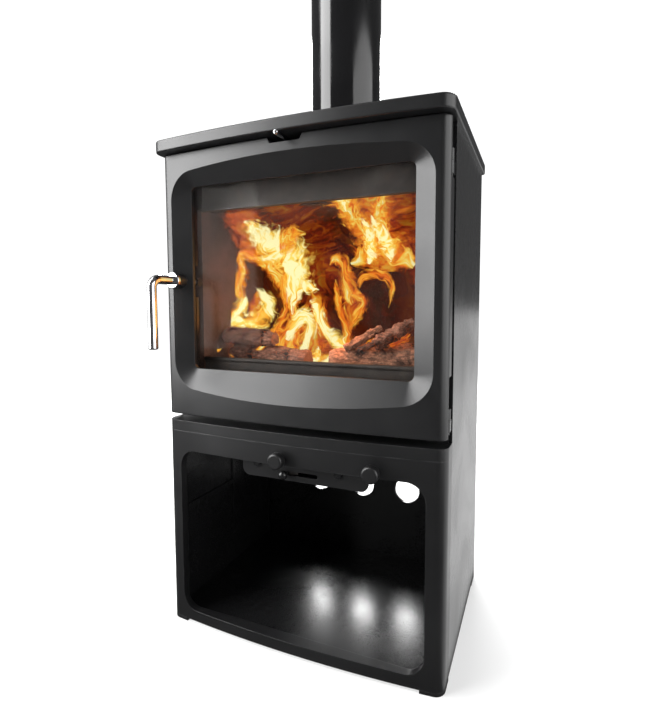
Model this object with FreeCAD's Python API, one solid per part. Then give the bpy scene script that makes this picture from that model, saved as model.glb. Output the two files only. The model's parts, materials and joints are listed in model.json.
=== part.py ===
"""Wood burning stove with a bow front, a glazed door and a log store below.

Millimetres.  X runs across the stove, positive on the hinge side.  Y runs
from the front to the back, Z up from the floor.  While the pieces are drawn,
Y is measured back from the two front corners of the body; save() then moves
each finished piece forward so that the origin lies on the floor under the
middle of the whole object (the handle in front counts, as does the rear lip).
"""
import math
import os

import FreeCAD
import Part
from FreeCAD import Vector as V

# ---------------------------------------------------------------- shell
WIDTH = 460.0            # outside of the side panels
DEPTH = 318.0            # front corners to the back of the rear panel
BOW = 11.4               # how far the middle of the front stands forward
BASE_TOP = 341.5         # top of the log store
PLATE_TOP = 785.5        # top of the top plate
PLATE_T = 18.0           # top plate thickness at its rim
PLATE_WEB = 8.0          # and inside the rim
PLATE_SIDE = 5.5         # overhang of the top plate at each side
PLATE_FRONT = 15.5       # overhang at the front
PLATE_BACK = 4.0         # overhang at the back
SIDE_T = 5.0             # side panels
REAR_T = 6.0             # rear panels
CORNER_R = 16.0          # upright front corners of the log store
FIT = 0.06               # radial clearance of a shaft that turns or slides
HOLE_GAP = 0.15          # radial clearance of a screw in its hole
SLIDE_GAP = 0.4          # clearance beside a plate that slides

HALF = WIDTH / 2
INNER = HALF - SIDE_T
REAR_FACE = DEPTH - REAR_T
PLATE_LOW = PLATE_TOP - PLATE_T

# ---------------------------------------------------------------- flue
FLUE_BACK = 96.5         # flue axis to the back of the rear panel
FLUE_R = 62.5            # 125 mm stove pipe
FLUE_WALL = 2.0
FLUE_LENGTH = 500.0
SPIGOT_WALL = 4.5
SPIGOT_HIGH = 54.5       # how far the spigot rises into the pipe
FLANGE_T = 6.0
FLANGE_RIM = 14.8
SCREW_R = 3.0
FLUE_Y = DEPTH - FLUE_BACK
SPIGOT_R = FLUE_R - FLUE_WALL - 0.3
FLANGE_R = SPIGOT_R + FLANGE_RIM

# ---------------------------------------------------------------- log store
FOOT = 5.0               # height of the feet
FOOT_WIDE = 33.0
FOOT_LONG = 36.0
POST_BACK = 36.0         # the side panels start this far back
FACE_BACK = 7.5          # back of the front frame's face
STORE_SIDE = 27.0        # mouth to the side of the body
STORE_LOW = 22.5         # lower edge of the mouth
STORE_RAIL = 31.5        # rail over the mouth, where the knobs sit
MOUTH_R = 28.0
BAND_T = 17.0            # plate between the log store and the firebox
BAND_WEB = 8.0
FLOOR_LOW, FLOOR_T = 8.0, 5.0
VENT_R, VENT_Z, VENT_STEP = 25.0, 153.0, 96.0
RIB_OUT, RIB_WIDE = 3.0, 8.0
BAND_LOW = BASE_TOP - BAND_T
STORE_HIGH = BAND_LOW - STORE_RAIL
STORE_HALF = HALF - STORE_SIDE

# ---------------------------------------------------------------- air controls
KNOB_R, KNOB_DROP = 12.0, 20.5           # knob centres below the band
ROD_R = 4.0
PULL_X = -11.0
PULL_TRAVEL = 22.0
KNOB_FRONT, KNOB_BACK, KNOB_NECK = -31.0, -19.0, -13.5
CTRL_Y, CTRL_T = 8.0, 3.0
CTRL_X0, CTRL_X1, CTRL_TALL = -89.0, 119.0, 60.0
BALL_R, BALL_X, BALL_Y = 7.0, -12.0, -2.0
SLOT_DROP = 48.5
BALL_TRAVEL = 48.0
NECK_R = 3.0
BOX_X0, BOX_X1, BOX_TALL, BOX_BACK, BOX_T = -80.0, 110.0, 54.5, 62.0, 1.5
BOLT_PLACES = ((-63.0, 38.5), (73.0, 39.5))   # x, and down from the band
BOLT_HEAD_R = 6.5
CTRL_BACK = CTRL_Y + CTRL_T
KNOB_Z = BAND_LOW - KNOB_DROP
SLOT_Z = BAND_LOW - SLOT_DROP
CTRL_LOW = BAND_LOW - CTRL_TALL
BOX_LOW = BAND_LOW - BOX_TALL
BOLTS = [(x, BAND_LOW - drop) for x, drop in BOLT_PLACES]

# ---------------------------------------------------------------- front frame, door
FRAME_FRONT, FRAME_T = 31.0, 6.0
FRAME_BACK = FRAME_FRONT + FRAME_T
MOUTH_HALF = HALF - 38.0
MOUTH_LOW, MOUTH_HIGH = BASE_TOP + 8.5, PLATE_LOW - 32.5
DOOR_GAP_SIDE, DOOR_GAP_TOP, DOOR_GAP_LOW = 1.0, 1.5, 10.5
DOOR_BACK = 28.0
RIM_SIDE, RIM_TOP, RIM_LOW = 47.0, 50.0, 74.0      # door edge to the glass
DISH_TOP, DISH_LOW_RIM = 21.5, 31.0                # door edge to the dish
DISH_R = 62.0
DISH_DEEP = 12.0         # the dish ends this far behind the corners
GLASS_R = 9.0
GLASS_SEAT, TAPE_T, GLASS_T = 17.0, 1.5, 4.0
GLASS_LAP = 8.0          # the pane reaches this far behind the casting
ROPE_WIDE, ROPE_FLOOR, ROPE_BACK = 9.0, 22.0, 30.7
DOOR_HALF = HALF - DOOR_GAP_SIDE
DOOR_TOP, DOOR_BOTTOM = PLATE_LOW - DOOR_GAP_TOP, BASE_TOP + DOOR_GAP_LOW
GLASS_HALF = DOOR_HALF - RIM_SIDE
GLASS_LOW, GLASS_HIGH = DOOR_BOTTOM + RIM_LOW, DOOR_TOP - RIM_TOP
PANE_HALF = GLASS_HALF + GLASS_LAP
PANE_LOW, PANE_HIGH = GLASS_LOW - GLASS_LAP - 2, GLASS_HIGH + GLASS_LAP + 2
PANE_FRONT = GLASS_SEAT + TAPE_T
PANE_BACK = PANE_FRONT + GLASS_T

# ---------------------------------------------------------------- hinges
PIN_R = 4.0
HINGE_WALL = 3.5
HINGE_IN, HINGE_Y = 8.0, 22.0
LUG_T = 16.0
KNUCKLE_T = 15.0
HINGE_X = HALF - HINGE_IN
HINGE_R = PIN_R + HINGE_WALL
LUGS = (DOOR_BOTTOM + 8.0, DOOR_TOP - 69.0)
NOTCH_X = HINGE_X - HINGE_R - 1.5
NOTCH_Y = HINGE_Y - HINGE_R - 4.5

# ---------------------------------------------------------------- handle, latch
HANDLE_IN, HANDLE_UP = 28.0, 9.0
SHAFT_R = 5.0
BOSS_FRONT = -9.0
COLLAR_R, COLLAR_T = 13.0, 5.2
BAR_R, BAR_Y, BAR_BEND, BAR_LENGTH = 7.0, -57.0, 13.0, 106.0
CAM_LONG, CAM_HALF, CAM_T = 19.0, 7.0, 5.0
KEEP_T = 1.5
NUT_T = 6.0
HANDLE_X = -(HALF - HANDLE_IN)
HANDLE_Z = (DOOR_TOP + DOOR_BOTTOM) / 2 + HANDLE_UP
BOSS_R = SHAFT_R + 7.0
COLLAR_BACK = BOSS_FRONT - 0.3
COLLAR_FRONT = COLLAR_BACK - COLLAR_T
CAM_FRONT = FRAME_BACK + KEEP_T + 0.5
CAM_BACK = CAM_FRONT + CAM_T
WINDOW_X = HANDLE_X - CAM_HALF - 5.0

# ---------------------------------------------------------------- airwash
LEVER_R, LEVER_FRONT = 3.25, -36.0
LEVER_TRAVEL = 12.0
LEVER_Z = PLATE_LOW - 5.5
SHUTTER_T = 2.2
AIR_HOLES = (-110.0, -60.0, 60.0, 110.0)
AIR_HALF = 12.0
DEFLECTOR_Y, DEFLECTOR_T = 50.0, 3.0
DEFLECTOR_LOW = PLATE_LOW - 83.5
SHUTTER_FRONT = FRAME_BACK + SLIDE_GAP
HOLE_LOW, HOLE_HIGH = PLATE_LOW - 23.5, PLATE_LOW - 13.5

# ---------------------------------------------------------------- fire bed
FLOOR_PLATE = 6.0
CARRIER_UP, CARRIER_T = 42.5, 6.0
GRATE_HALF, GRATE_T = 99.0, 12.0
GRATE_LAP = 7.0
BRICK_T, BED_T = 25.0, 18.0
BRICK_FRONT = 58.0
BAFFLE_T = 18.0
RIDDLE_T, RIDDLE_TRAVEL = 5.0, 30.0
PAN_T, PAN_FRONT, PAN_HIGH = 2.0, 64.0, 32.5
FIRE_FLOOR = BASE_TOP + FLOOR_PLATE
CARRIER_LOW = FIRE_FLOOR + CARRIER_UP
CARRIER_HIGH = CARRIER_LOW + CARRIER_T
BED = CARRIER_HIGH + BED_T
BRICK_HIGH = PLATE_LOW - 77.5
BRICK_X = INNER - 0.5 - BRICK_T          # inner face of the side bricks
BRICK_BACK = REAR_FACE - 0.5 - BRICK_T   # front of the rear bricks
GRATE_Y0, GRATE_Y1 = BRICK_FRONT + 33.0, BRICK_BACK - 27.5
RIDDLE_X = GRATE_HALF + 34.0
UPRIGHT_Y = GRATE_Y1 - 30.0
UPRIGHT = 4.0            # half its width
PAN_HALF = RIDDLE_X - 13.0
RIDDLE_LOW = CARRIER_LOW + SLIDE_GAP
# x0, x1, y0, y1 of the slot for the riddling upright, and of the air window
RIDDLE_SLOT = (RIDDLE_X - 6, RIDDLE_X + 6,
               UPRIGHT_Y - UPRIGHT - RIDDLE_TRAVEL - 7, UPRIGHT_Y + UPRIGHT + 9)
AIR_WINDOW = (BOX_X0 + 20, BOX_X1 - 20, FRAME_BACK + 3, BOX_BACK - 4)

# The origin lies midway between the handle's front and the rear lip.
ORIGIN_BACK = (DEPTH + PLATE_BACK + BAR_Y - BAR_R) / 2
BOW_R = (HALF ** 2 + BOW ** 2) / (2 * BOW)
BOW_CENTRE = BOW_R - BOW

os.makedirs("parts", exist_ok=True)


# ---------------------------------------------------------------- helpers
def save(name, *shapes):
    """Move a node into the shared frame and write it."""
    node = shapes[0] if len(shapes) == 1 else Part.makeCompound(list(shapes))
    node = node.copy()
    node.translate(V(0, -ORIGIN_BACK, 0))
    node.exportStep("parts/" + name + ".step")


def box(x0, x1, y0, y1, z0, z1):
    return Part.makeBox(x1 - x0, y1 - y0, z1 - z0, V(x0, y0, z0))


def both(x0, x1, *rest):
    """The same box on each side of the middle, left one first."""
    return box(-x1, -x0, *rest), box(x0, x1, *rest)


def rod_z(r, x, y, z0, z1):
    return Part.makeCylinder(r, z1 - z0, V(x, y, z0), V(0, 0, 1))


def rod_y(r, x, z, y0, y1):
    return Part.makeCylinder(r, y1 - y0, V(x, y0, z), V(0, 1, 0))


def hex_y(across, x, z, y0, y1):
    """A hexagonal prism along Y."""
    r = across / math.sqrt(3)
    turns = [math.radians(60 * k) for k in range(7)]
    pts = [V(x + r * math.cos(t), y0, z + r * math.sin(t)) for t in turns]
    return Part.Face(Part.makePolygon(pts)).extrude(V(0, y1 - y0, 0))


def bow_y(x, out=0.0):
    """Y of the bowed front face at x; out moves the face forward."""
    return BOW_CENTRE - math.sqrt((BOW_R + out) ** 2 - x * x)


def bowed(half, back, z0, z1, out=0.0):
    """A block whose front follows the bow."""
    side = bow_y(half, out)
    a, b = V(-half, side, z0), V(half, side, z0)
    arc = Part.Arc(a, V(0, bow_y(0, out), z0), b).toShape()
    rest = Part.makePolygon([b, V(half, back, z0), V(-half, back, z0), a])
    face = Part.Face(Part.Wire([arc] + rest.Edges))
    return face.extrude(V(0, 0, z1 - z0))


def rounded_wire(x0, x1, z0, z1, r, y):
    """Rounded rectangle in the plane at y."""
    k = r * (1 - math.sqrt(0.5))
    corners = []
    for cx, cz, sx, sz in ((x1, z0, -1, 1), (x1, z1, -1, -1), (x0, z1, 1, -1), (x0, z0, 1, 1)):
        level, upright = V(cx + sx * r, y, cz), V(cx, y, cz + sz * r)
        middle = V(cx + sx * k, y, cz + sz * k)
        corners.append((level, middle, upright))
    order = [corners[0], corners[1][::-1], corners[2], corners[3][::-1]]
    edges = []
    for i, (a, m, b) in enumerate(order):
        edges.append(Part.Arc(a, m, b).toShape())
        edges.append(Part.makeLine(b, order[(i + 1) % 4][0]))
    return Part.Wire(edges)


def slab(x0, x1, z0, z1, r, y0, y1):
    """A rounded rectangle in the XZ plane, extruded along Y."""
    return Part.Face(rounded_wire(x0, x1, z0, z1, r, y0)).extrude(V(0, y1 - y0, 0))


def upright_edges(shape, test):
    """Vertical edges whose (x, y) passes the test."""
    found = []
    for e in shape.Edges:
        a, b = e.Vertexes[0].Point, e.Vertexes[-1].Point
        straight = abs(a.x - b.x) < 0.01 and abs(a.y - b.y) < 0.01 and abs(a.z - b.z) > 1
        if straight and test(a.x, a.y):
            found.append(e)
    return found


def level_edges(shape, z):
    """Edges that lie in the plane at height z."""
    return [e for e in shape.Edges
            if abs(e.BoundBox.ZMin - z) < 0.01 and abs(e.BoundBox.ZMax - z) < 0.01]


def front_edge(shape, y):
    """Edges that lie in the plane at y."""
    return [e for e in shape.Edges
            if abs(e.BoundBox.YMin - y) < 0.01 and abs(e.BoundBox.YMax - y) < 0.01]


def cut(shape, *tools):
    return shape.cut(list(tools))


# ---------------------------------------------------------------- log store
fascia = bowed(HALF, POST_BACK, FOOT, BAND_LOW)
fascia = fascia.makeFillet(CORNER_R, upright_edges(fascia, lambda x, y: y < 5))
fascia = cut(fascia, box(-INNER, INNER, FACE_BACK, POST_BACK + 1, 0, BAND_LOW + 1),
             slab(-STORE_HALF, STORE_HALF, STORE_LOW, STORE_HIGH, MOUTH_R, -60, 60))
fascia = cut(fascia, *[rod_y(ROD_R + FIT, x, KNOB_Z, -60, 60) for x in (PULL_X, RIDDLE_X)])
save("store_front_frame", fascia)

for name, panel in zip(("left", "right"), both(INNER, HALF, POST_BACK, DEPTH, FOOT, BASE_TOP)):
    save("store_side_" + name, panel)

vents = [rod_y(VENT_R, k * VENT_STEP, VENT_Z, REAR_FACE - 1, DEPTH + 1) for k in (-1, 0, 1)]
save("store_rear_panel", cut(box(-INNER, INNER, REAR_FACE, DEPTH, FOOT, BAND_LOW), *vents))
save("store_floor", box(-INNER, INNER, FACE_BACK, REAR_FACE, FLOOR_LOW, FLOOR_LOW + FLOOR_T))

store_top = bowed(HALF, POST_BACK, BAND_LOW, BASE_TOP)
store_top = store_top.makeFillet(CORNER_R, upright_edges(store_top, lambda x, y: y < 5))
store_top = store_top.fuse(box(-INNER, INNER, POST_BACK, DEPTH, BAND_LOW, BASE_TOP))
store_top = store_top.removeSplitter()
store_top = cut(store_top, box(*RIDDLE_SLOT, 0, 1000), box(*AIR_WINDOW, 0, 1000),
                box(-INNER + 10, INNER - 10, BOX_BACK + 8, REAR_FACE - 10,
                    BAND_LOW - 1, BASE_TOP - BAND_WEB))
save("store_top_plate", store_top)

feet = bowed(HALF, FOOT_LONG, 0, FOOT)
feet = feet.makeFillet(CORNER_R, upright_edges(feet, lambda x, y: y < 5))
feet = cut(feet, box(FOOT_WIDE - HALF, HALF - FOOT_WIDE, -60, 60, -1, FOOT + 1))
rear_feet = both(HALF - FOOT_WIDE, HALF, DEPTH - FOOT_LONG, DEPTH, 0, FOOT)
save("feet", *feet.Solids, *rear_feet)

# Folded strips welded to the inner faces of the side panels.
RIB_Y = (DEPTH * 0.522, DEPTH - 20)
RIB_LOW = FLOOR_LOW + FLOOR_T + 9
ribs = list(both(INNER - RIB_OUT, INNER, POST_BACK, RIB_Y[0], 174, 174 + RIB_WIDE))
for y in RIB_Y:
    ribs += both(INNER - RIB_OUT, INNER, y, y + RIB_WIDE, RIB_LOW, BAND_LOW - 4.5)
save("side_stiffeners", *ribs)

# ---------------------------------------------------------------- air controls
bolt_holes = [rod_y(SCREW_R + HOLE_GAP, x, z, 0, 20) for x, z in BOLTS]
control = slab(CTRL_X0, CTRL_X1, CTRL_LOW, BAND_LOW + 30, 12.0, CTRL_Y, CTRL_BACK)
ball_slot = slab(BALL_X - NECK_R - 1, BALL_X + BALL_TRAVEL + NECK_R + 1,
                 SLOT_Z - NECK_R - 0.2, SLOT_Z + NECK_R + 0.2, NECK_R + 0.1, 0, 20)
control = cut(control, box(-WIDTH, WIDTH, 0, 20, BAND_LOW, BAND_LOW + 60), ball_slot,
              rod_y(ROD_R + FIT, PULL_X, KNOB_Z, 0, 20), *bolt_holes)
save("control_plate", control)

# Sheet box behind the control plate, open at the top to the window above.
air_box = box(BOX_X0, BOX_X1, CTRL_BACK, BOX_BACK, BOX_LOW, BAND_LOW)
air_box = cut(air_box,
              box(BOX_X0 + BOX_T, BOX_X1 - BOX_T, CTRL_BACK - 1, BOX_BACK - BOX_T,
                  BOX_LOW + BOX_T, BAND_LOW + 5),
              rod_y(10.0, PULL_X, KNOB_Z, BOX_BACK - 10, BOX_BACK + 10))
for (x, z), a, b in zip(BOLTS, (BOX_X0 + BOX_T, BOLTS[1][0] - 7),
                        (BOLTS[0][0] + 3, BOX_X1 - BOX_T)):
    air_box = air_box.fuse(box(a, b, CTRL_BACK, CTRL_BACK + 5, z - 10, z + 10))
save("air_box", cut(air_box.removeSplitter(), *bolt_holes))

bolts = []
for x, z in BOLTS:
    head = rod_y(BOLT_HEAD_R, x, z, CTRL_Y - 3.5, CTRL_Y)
    head = head.makeFillet(1.5, front_edge(head, CTRL_Y - 3.5))
    bolts.append(head.fuse(rod_y(SCREW_R, x, z, CTRL_Y, CTRL_BACK + 5)).removeSplitter())
save("control_bolts", *bolts)

SLIDER_Y = CTRL_BACK + SLIDE_GAP
ball = Part.makeSphere(BALL_R, V(BALL_X, BALL_Y, SLOT_Z))
ball = ball.fuse(rod_y(NECK_R, BALL_X, SLOT_Z, BALL_Y, SLIDER_Y)).removeSplitter()
save("air_slider_ball", ball)
save("air_slider_plate", slab(BALL_X - 34, BALL_X + 18, BOX_LOW + BOX_T + 0.5,
                              KNOB_Z - ROD_R - 4, 3.0, SLIDER_Y, SLIDER_Y + 2))

VALVE_BACK = BOX_BACK - BOX_T - 0.5
pull = rod_y(ROD_R, PULL_X, KNOB_Z, KNOB_BACK, VALVE_BACK)
pull = pull.fuse(rod_y(14.0, PULL_X, KNOB_Z, VALVE_BACK - 3, VALVE_BACK)).removeSplitter()
save("boost_air_rod", pull)


def knob(x):
    """Turned knob with a shallow dome, bored for its rod."""
    body = rod_y(KNOB_R, x, KNOB_Z, KNOB_FRONT, KNOB_BACK)
    body = body.makeFillet(3.5, front_edge(body, KNOB_FRONT))
    body = body.fuse(rod_y(ROD_R + 2.5, x, KNOB_Z, KNOB_BACK, KNOB_NECK))
    return cut(body, rod_y(ROD_R, x, KNOB_Z, KNOB_BACK, 0))


save("boost_air_knob", knob(PULL_X))
save("riddling_knob", knob(RIDDLE_X))

# ---------------------------------------------------------------- firebox shell
sides = both(INNER, HALF, FRAME_FRONT + 5, DEPTH, BASE_TOP, PLATE_LOW)
for name, panel in zip(("left", "right"), sides):
    save("firebox_side_" + name, panel)
save("firebox_rear_panel", box(-INNER, INNER, REAR_FACE, DEPTH, BASE_TOP, PLATE_LOW))
floor = box(-INNER, INNER, FRAME_BACK, REAR_FACE, BASE_TOP, FIRE_FLOOR)
save("firebox_floor", cut(floor, box(*RIDDLE_SLOT, 0, 1000), box(*AIR_WINDOW, 0, 1000)))

LEVER_SLOT = LEVER_TRAVEL + LEVER_R + 0.75
through = (FRAME_FRONT - 5, FRAME_BACK + 5)
front = box(-INNER, INNER, FRAME_FRONT, FRAME_BACK, BASE_TOP, PLATE_LOW)
front = cut(front, slab(-MOUTH_HALF, MOUTH_HALF, MOUTH_LOW, MOUTH_HIGH, 8.0, *through),
            slab(WINDOW_X, HANDLE_X + 22, HANDLE_Z - CAM_LONG - 7, HANDLE_Z + CAM_LONG + 7,
                 4.0, *through),
            box(-LEVER_SLOT, LEVER_SLOT, *through, LEVER_Z - LEVER_R - 0.75, PLATE_LOW + 5),
            *[slab(x - AIR_HALF, x + AIR_HALF, HOLE_LOW, HOLE_HIGH, 4.9, *through)
              for x in AIR_HOLES])
save("front_frame", front)

top = bowed(HALF + PLATE_SIDE, DEPTH + PLATE_BACK, PLATE_LOW, PLATE_TOP, PLATE_FRONT)
top = top.makeFillet(20.0, upright_edges(top, lambda x, y: y < 5))
top = top.makeFillet(6.0, upright_edges(top, lambda x, y: y > 5))
top = top.makeFillet(3.0, level_edges(top, PLATE_TOP))
top = top.makeFillet(2.0, level_edges(top, PLATE_LOW))
BOLT_RING = SPIGOT_R + FLANGE_RIM / 2 + 0.4
ring = [(BOLT_RING * math.cos(math.radians(a)), FLUE_Y + BOLT_RING * math.sin(math.radians(a)))
        for a in (45, 135, 225, 315)]
ring_holes = [rod_z(SCREW_R + HOLE_GAP, x, y, PLATE_LOW - 20, PLATE_LOW + 9.5) for x, y in ring]
hollow = box(-INNER + 7, INNER - 7, DEFLECTOR_Y + 10, REAR_FACE - 7,
             PLATE_LOW - 1, PLATE_TOP - PLATE_WEB)
hollow = cut(hollow, rod_z(FLANGE_R + 3, 0, FLUE_Y, PLATE_LOW - 5, PLATE_TOP))
top = cut(top, hollow, rod_z(SPIGOT_R + 0.3, 0, FLUE_Y, PLATE_LOW - 9, PLATE_TOP + 9),
          *ring_holes)
save("top_plate", top)

FLANGE_LOW = PLATE_LOW - FLANGE_T
spigot = rod_z(SPIGOT_R, 0, FLUE_Y, FLANGE_LOW, PLATE_TOP + SPIGOT_HIGH)
spigot = spigot.fuse(rod_z(FLANGE_R, 0, FLUE_Y, FLANGE_LOW, PLATE_LOW)).removeSplitter()
spigot = cut(spigot, rod_z(SPIGOT_R - SPIGOT_WALL, 0, FLUE_Y, FLANGE_LOW - 5, PLATE_TOP + 99),
             *ring_holes)
save("flue_spigot", spigot)
save("spigot_bolts", *[
    rod_z(SCREW_R + 2.5, x, y, FLANGE_LOW - 4, FLANGE_LOW).fuse(
        rod_z(SCREW_R, x, y, FLANGE_LOW, PLATE_LOW + 8.5)).removeSplitter() for x, y in ring])

pipe = rod_z(FLUE_R, 0, FLUE_Y, PLATE_TOP, PLATE_TOP + FLUE_LENGTH)
pipe = cut(pipe, rod_z(FLUE_R - FLUE_WALL, 0, FLUE_Y, PLATE_TOP - 9, PLATE_TOP + 2000))
save("flue_pipe", pipe)

# ---------------------------------------------------------------- inside the firebox
CARRIER_Y = (FRAME_BACK + 5, REAR_FACE - 1)
GAP_Y = (GRATE_Y0 + GRATE_LAP, GRATE_Y1 - GRATE_LAP)
gap_half = GRATE_HALF - GRATE_LAP
carrier = box(1 - INNER, INNER - 1, *CARRIER_Y, CARRIER_LOW, CARRIER_HIGH)
for leg in both(INNER - 7, INNER - 1, *CARRIER_Y, FIRE_FLOOR, CARRIER_LOW):
    carrier = carrier.fuse(leg)
carrier = cut(carrier.removeSplitter(),
              box(-gap_half, gap_half, *GAP_Y, CARRIER_LOW - 9, CARRIER_HIGH + 9))
save("grate_carrier", carrier)
GUIDE_BACK = UPRIGHT_Y - UPRIGHT - RIDDLE_TRAVEL - 23
save("riddling_guides", *both(gap_half - 14, gap_half + 10, GAP_Y[0], GUIDE_BACK,
                              CARRIER_LOW - 4, CARRIER_LOW))


def bars(half, y0, y1, z0, z1, rim):
    """A plate with slots along Y, ten wide and eight apart."""
    plate = box(-half, half, y0, y1, z0, z1)
    count = int((2 * half - 20) // 18)
    first = -(count * 18 - 8) / 2
    return cut(plate, *[box(first + 18 * i, first + 18 * i + 10, y0 + rim, y1 - rim,
                            z0 - 5, z1 + 5) for i in range(count)])


grate = bars(GRATE_HALF, GRATE_Y0, GRATE_Y1, CARRIER_HIGH, CARRIER_HIGH + GRATE_T, 17)
grate = grate.makeFillet(3.0, upright_edges(grate, lambda x, y: abs(x) > GRATE_HALF - 0.1))
save("grate", grate)
riddle_half = gap_half - 6
save("riddling_plate", bars(riddle_half, GAP_Y[0] + RIDDLE_TRAVEL + 8, GAP_Y[1] - 6,
                            RIDDLE_LOW, RIDDLE_LOW + RIDDLE_T, 10))

ARM = (UPRIGHT_Y - UPRIGHT, UPRIGHT_Y + UPRIGHT)
ARM_TOP = CARRIER_LOW - 0.6
linkage = rod_y(ROD_R, RIDDLE_X, KNOB_Z, KNOB_BACK, UPRIGHT_Y)
linkage = linkage.fuse(box(RIDDLE_X - UPRIGHT, RIDDLE_X + UPRIGHT, *ARM,
                           KNOB_Z - ROD_R, ARM_TOP))
linkage = linkage.fuse(box(riddle_half - 12, RIDDLE_X + UPRIGHT, *ARM, ARM_TOP - 6, ARM_TOP))
linkage = linkage.fuse(box(riddle_half - 12, riddle_half, *ARM, ARM_TOP, RIDDLE_LOW))
save("riddling_linkage", linkage.removeSplitter())

PAN_BACK = BRICK_BACK + 3.7
pan = box(-PAN_HALF, PAN_HALF, PAN_FRONT, PAN_BACK, FIRE_FLOOR, FIRE_FLOOR + PAN_HIGH)
pan = cut(pan, box(PAN_T - PAN_HALF, PAN_HALF - PAN_T, PAN_FRONT + PAN_T, PAN_BACK - PAN_T,
                   FIRE_FLOOR + PAN_T, FIRE_FLOOR + PAN_HIGH + 9))
lip = box(-30, 30, PAN_FRONT - 10, PAN_FRONT, FIRE_FLOOR + PAN_HIGH - 6,
          FIRE_FLOOR + PAN_HIGH - 3)
save("ash_pan", pan.fuse(lip).removeSplitter())

bricks = both(BRICK_X, BRICK_X + BRICK_T, BRICK_FRONT, BRICK_BACK - 0.3,
              CARRIER_HIGH, BRICK_HIGH)
for name, brick in zip(("left", "right"), bricks):
    save("firebrick_" + name, brick)
third = (2 * INNER - 1) / 3
save("firebricks_rear", *[
    box(0.5 - INNER + k * third, 0.5 - INNER + (k + 1) * third - 0.5,
        BRICK_BACK, BRICK_BACK + BRICK_T, CARRIER_HIGH, BRICK_HIGH) for k in range(3)])
bed = [*both(GRATE_HALF + 1, BRICK_X - 0.5, BRICK_FRONT + 2, BRICK_BACK - 0.3, CARRIER_HIGH, BED)]
for y0, y1 in ((BRICK_FRONT + 2, GRATE_Y0 - 1), (GRATE_Y1 + 1, BRICK_BACK - 0.3)):
    bed.append(box(-GRATE_HALF - 0.5, GRATE_HALF + 0.5, y0, y1, CARRIER_HIGH, BED))
save("firebricks_base", *bed)
save("baffle", box(1 - INNER, INNER - 1, BRICK_FRONT + 32, REAR_FACE - 0.5,
                   BRICK_HIGH, BRICK_HIGH + BAFFLE_T))

GUARD_Y, GUARD_T, GUARD_TOP = BRICK_FRONT - 10, 4.0, BED + 24
guard_half = MOUTH_HALF - 2
guard = box(-guard_half, guard_half, GUARD_Y, GUARD_Y + GUARD_T, CARRIER_HIGH, GUARD_TOP)
guard = guard.fuse(Part.makeCylinder(GUARD_T, 2 * guard_half,
                                     V(-guard_half, GUARD_Y + GUARD_T / 2, GUARD_TOP), V(1, 0, 0)))
guard = guard.fuse(box(-guard_half, guard_half, GUARD_Y, BRICK_FRONT,
                       CARRIER_HIGH, CARRIER_HIGH + 4))
save("log_guard", guard.removeSplitter())

# ---------------------------------------------------------------- airwash
wash_half = MOUTH_HALF - 1
deflector = box(-wash_half, wash_half, DEFLECTOR_Y, DEFLECTOR_Y + DEFLECTOR_T,
                DEFLECTOR_LOW, PLATE_LOW)
deflector = deflector.fuse(box(-wash_half, wash_half, FRAME_BACK + 5.5, DEFLECTOR_Y,
                               DEFLECTOR_LOW, DEFLECTOR_LOW + 3))
deflector = deflector.fuse(box(-wash_half, wash_half, FRAME_BACK, DEFLECTOR_Y,
                               PLATE_LOW - 2, PLATE_LOW))
clear = LEVER_SLOT + 14
deflector = cut(deflector, box(-clear, clear, 0, DEFLECTOR_Y - 1, PLATE_LOW - 40, PLATE_LOW + 9))
save("airwash_deflector", deflector.removeSplitter())

SHUTTER_LOW = HOLE_LOW - 2
shutter_half = AIR_HOLES[-1] + 30
save("airwash_rails", box(-shutter_half - 25, shutter_half + 25, FRAME_BACK, FRAME_BACK + 5,
                          SHUTTER_LOW - SLIDE_GAP - 4.6, SHUTTER_LOW - SLIDE_GAP))
leaf = (SHUTTER_FRONT, SHUTTER_FRONT + SHUTTER_T)
shutter = slab(-shutter_half, shutter_half, SHUTTER_LOW, HOLE_HIGH + 3, 2.0, *leaf)
shutter = cut(shutter, *[
    slab(x + 20 - AIR_HALF, x + 20 + AIR_HALF, HOLE_LOW, HOLE_HIGH, 4.9, 0, 90)
    for x in AIR_HOLES])
tab = slab(-7, 7, HOLE_HIGH + 1, PLATE_LOW - 2.1, 2.0, *leaf)
save("airwash_shutter", shutter.fuse(tab).removeSplitter())
lever = rod_y(LEVER_R, 0, LEVER_Z, LEVER_FRONT, SHUTTER_FRONT)
save("airwash_lever", lever.makeFillet(1.5, front_edge(lever, LEVER_FRONT)))

# ---------------------------------------------------------------- door
DISH_LOW, DISH_HIGH = DOOR_BOTTOM + DISH_LOW_RIM, DOOR_TOP - DISH_TOP
door = bowed(DOOR_HALF, DOOR_BACK, DOOR_BOTTOM, DOOR_TOP)
door = door.makeFillet(14.0, upright_edges(door, lambda x, y: y < 5))
rim = [e for e in level_edges(door, DOOR_TOP) + level_edges(door, DOOR_BOTTOM)
       if e.BoundBox.YMin < 10 and e.BoundBox.YMax < 20]
door = door.makeFillet(2.0, rim)
dish = Part.makeLoft([
    rounded_wire(-HALF, HALF, DISH_LOW, DISH_HIGH, DISH_R, bow_y(0)),
    rounded_wire(-GLASS_HALF, GLASS_HALF, GLASS_LOW, GLASS_HIGH, GLASS_R, DISH_DEEP)],
    True, True)
sight = slab(-GLASS_HALF, GLASS_HALF, GLASS_LOW, GLASS_HIGH, GLASS_R, DISH_DEEP - 0.1, 60)
seat = slab(-PANE_HALF - 1, PANE_HALF + 1, PANE_LOW - 1, PANE_HIGH + 1, 6.0, GLASS_SEAT, 60)
door = door.cut(dish).cut(sight).cut(seat)

ROPE_X = (-(DOOR_HALF - 5.0), NOTCH_X - 2.0)
ROPE_Z = (DOOR_BOTTOM + 5.0, DOOR_TOP - 12.0)


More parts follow.
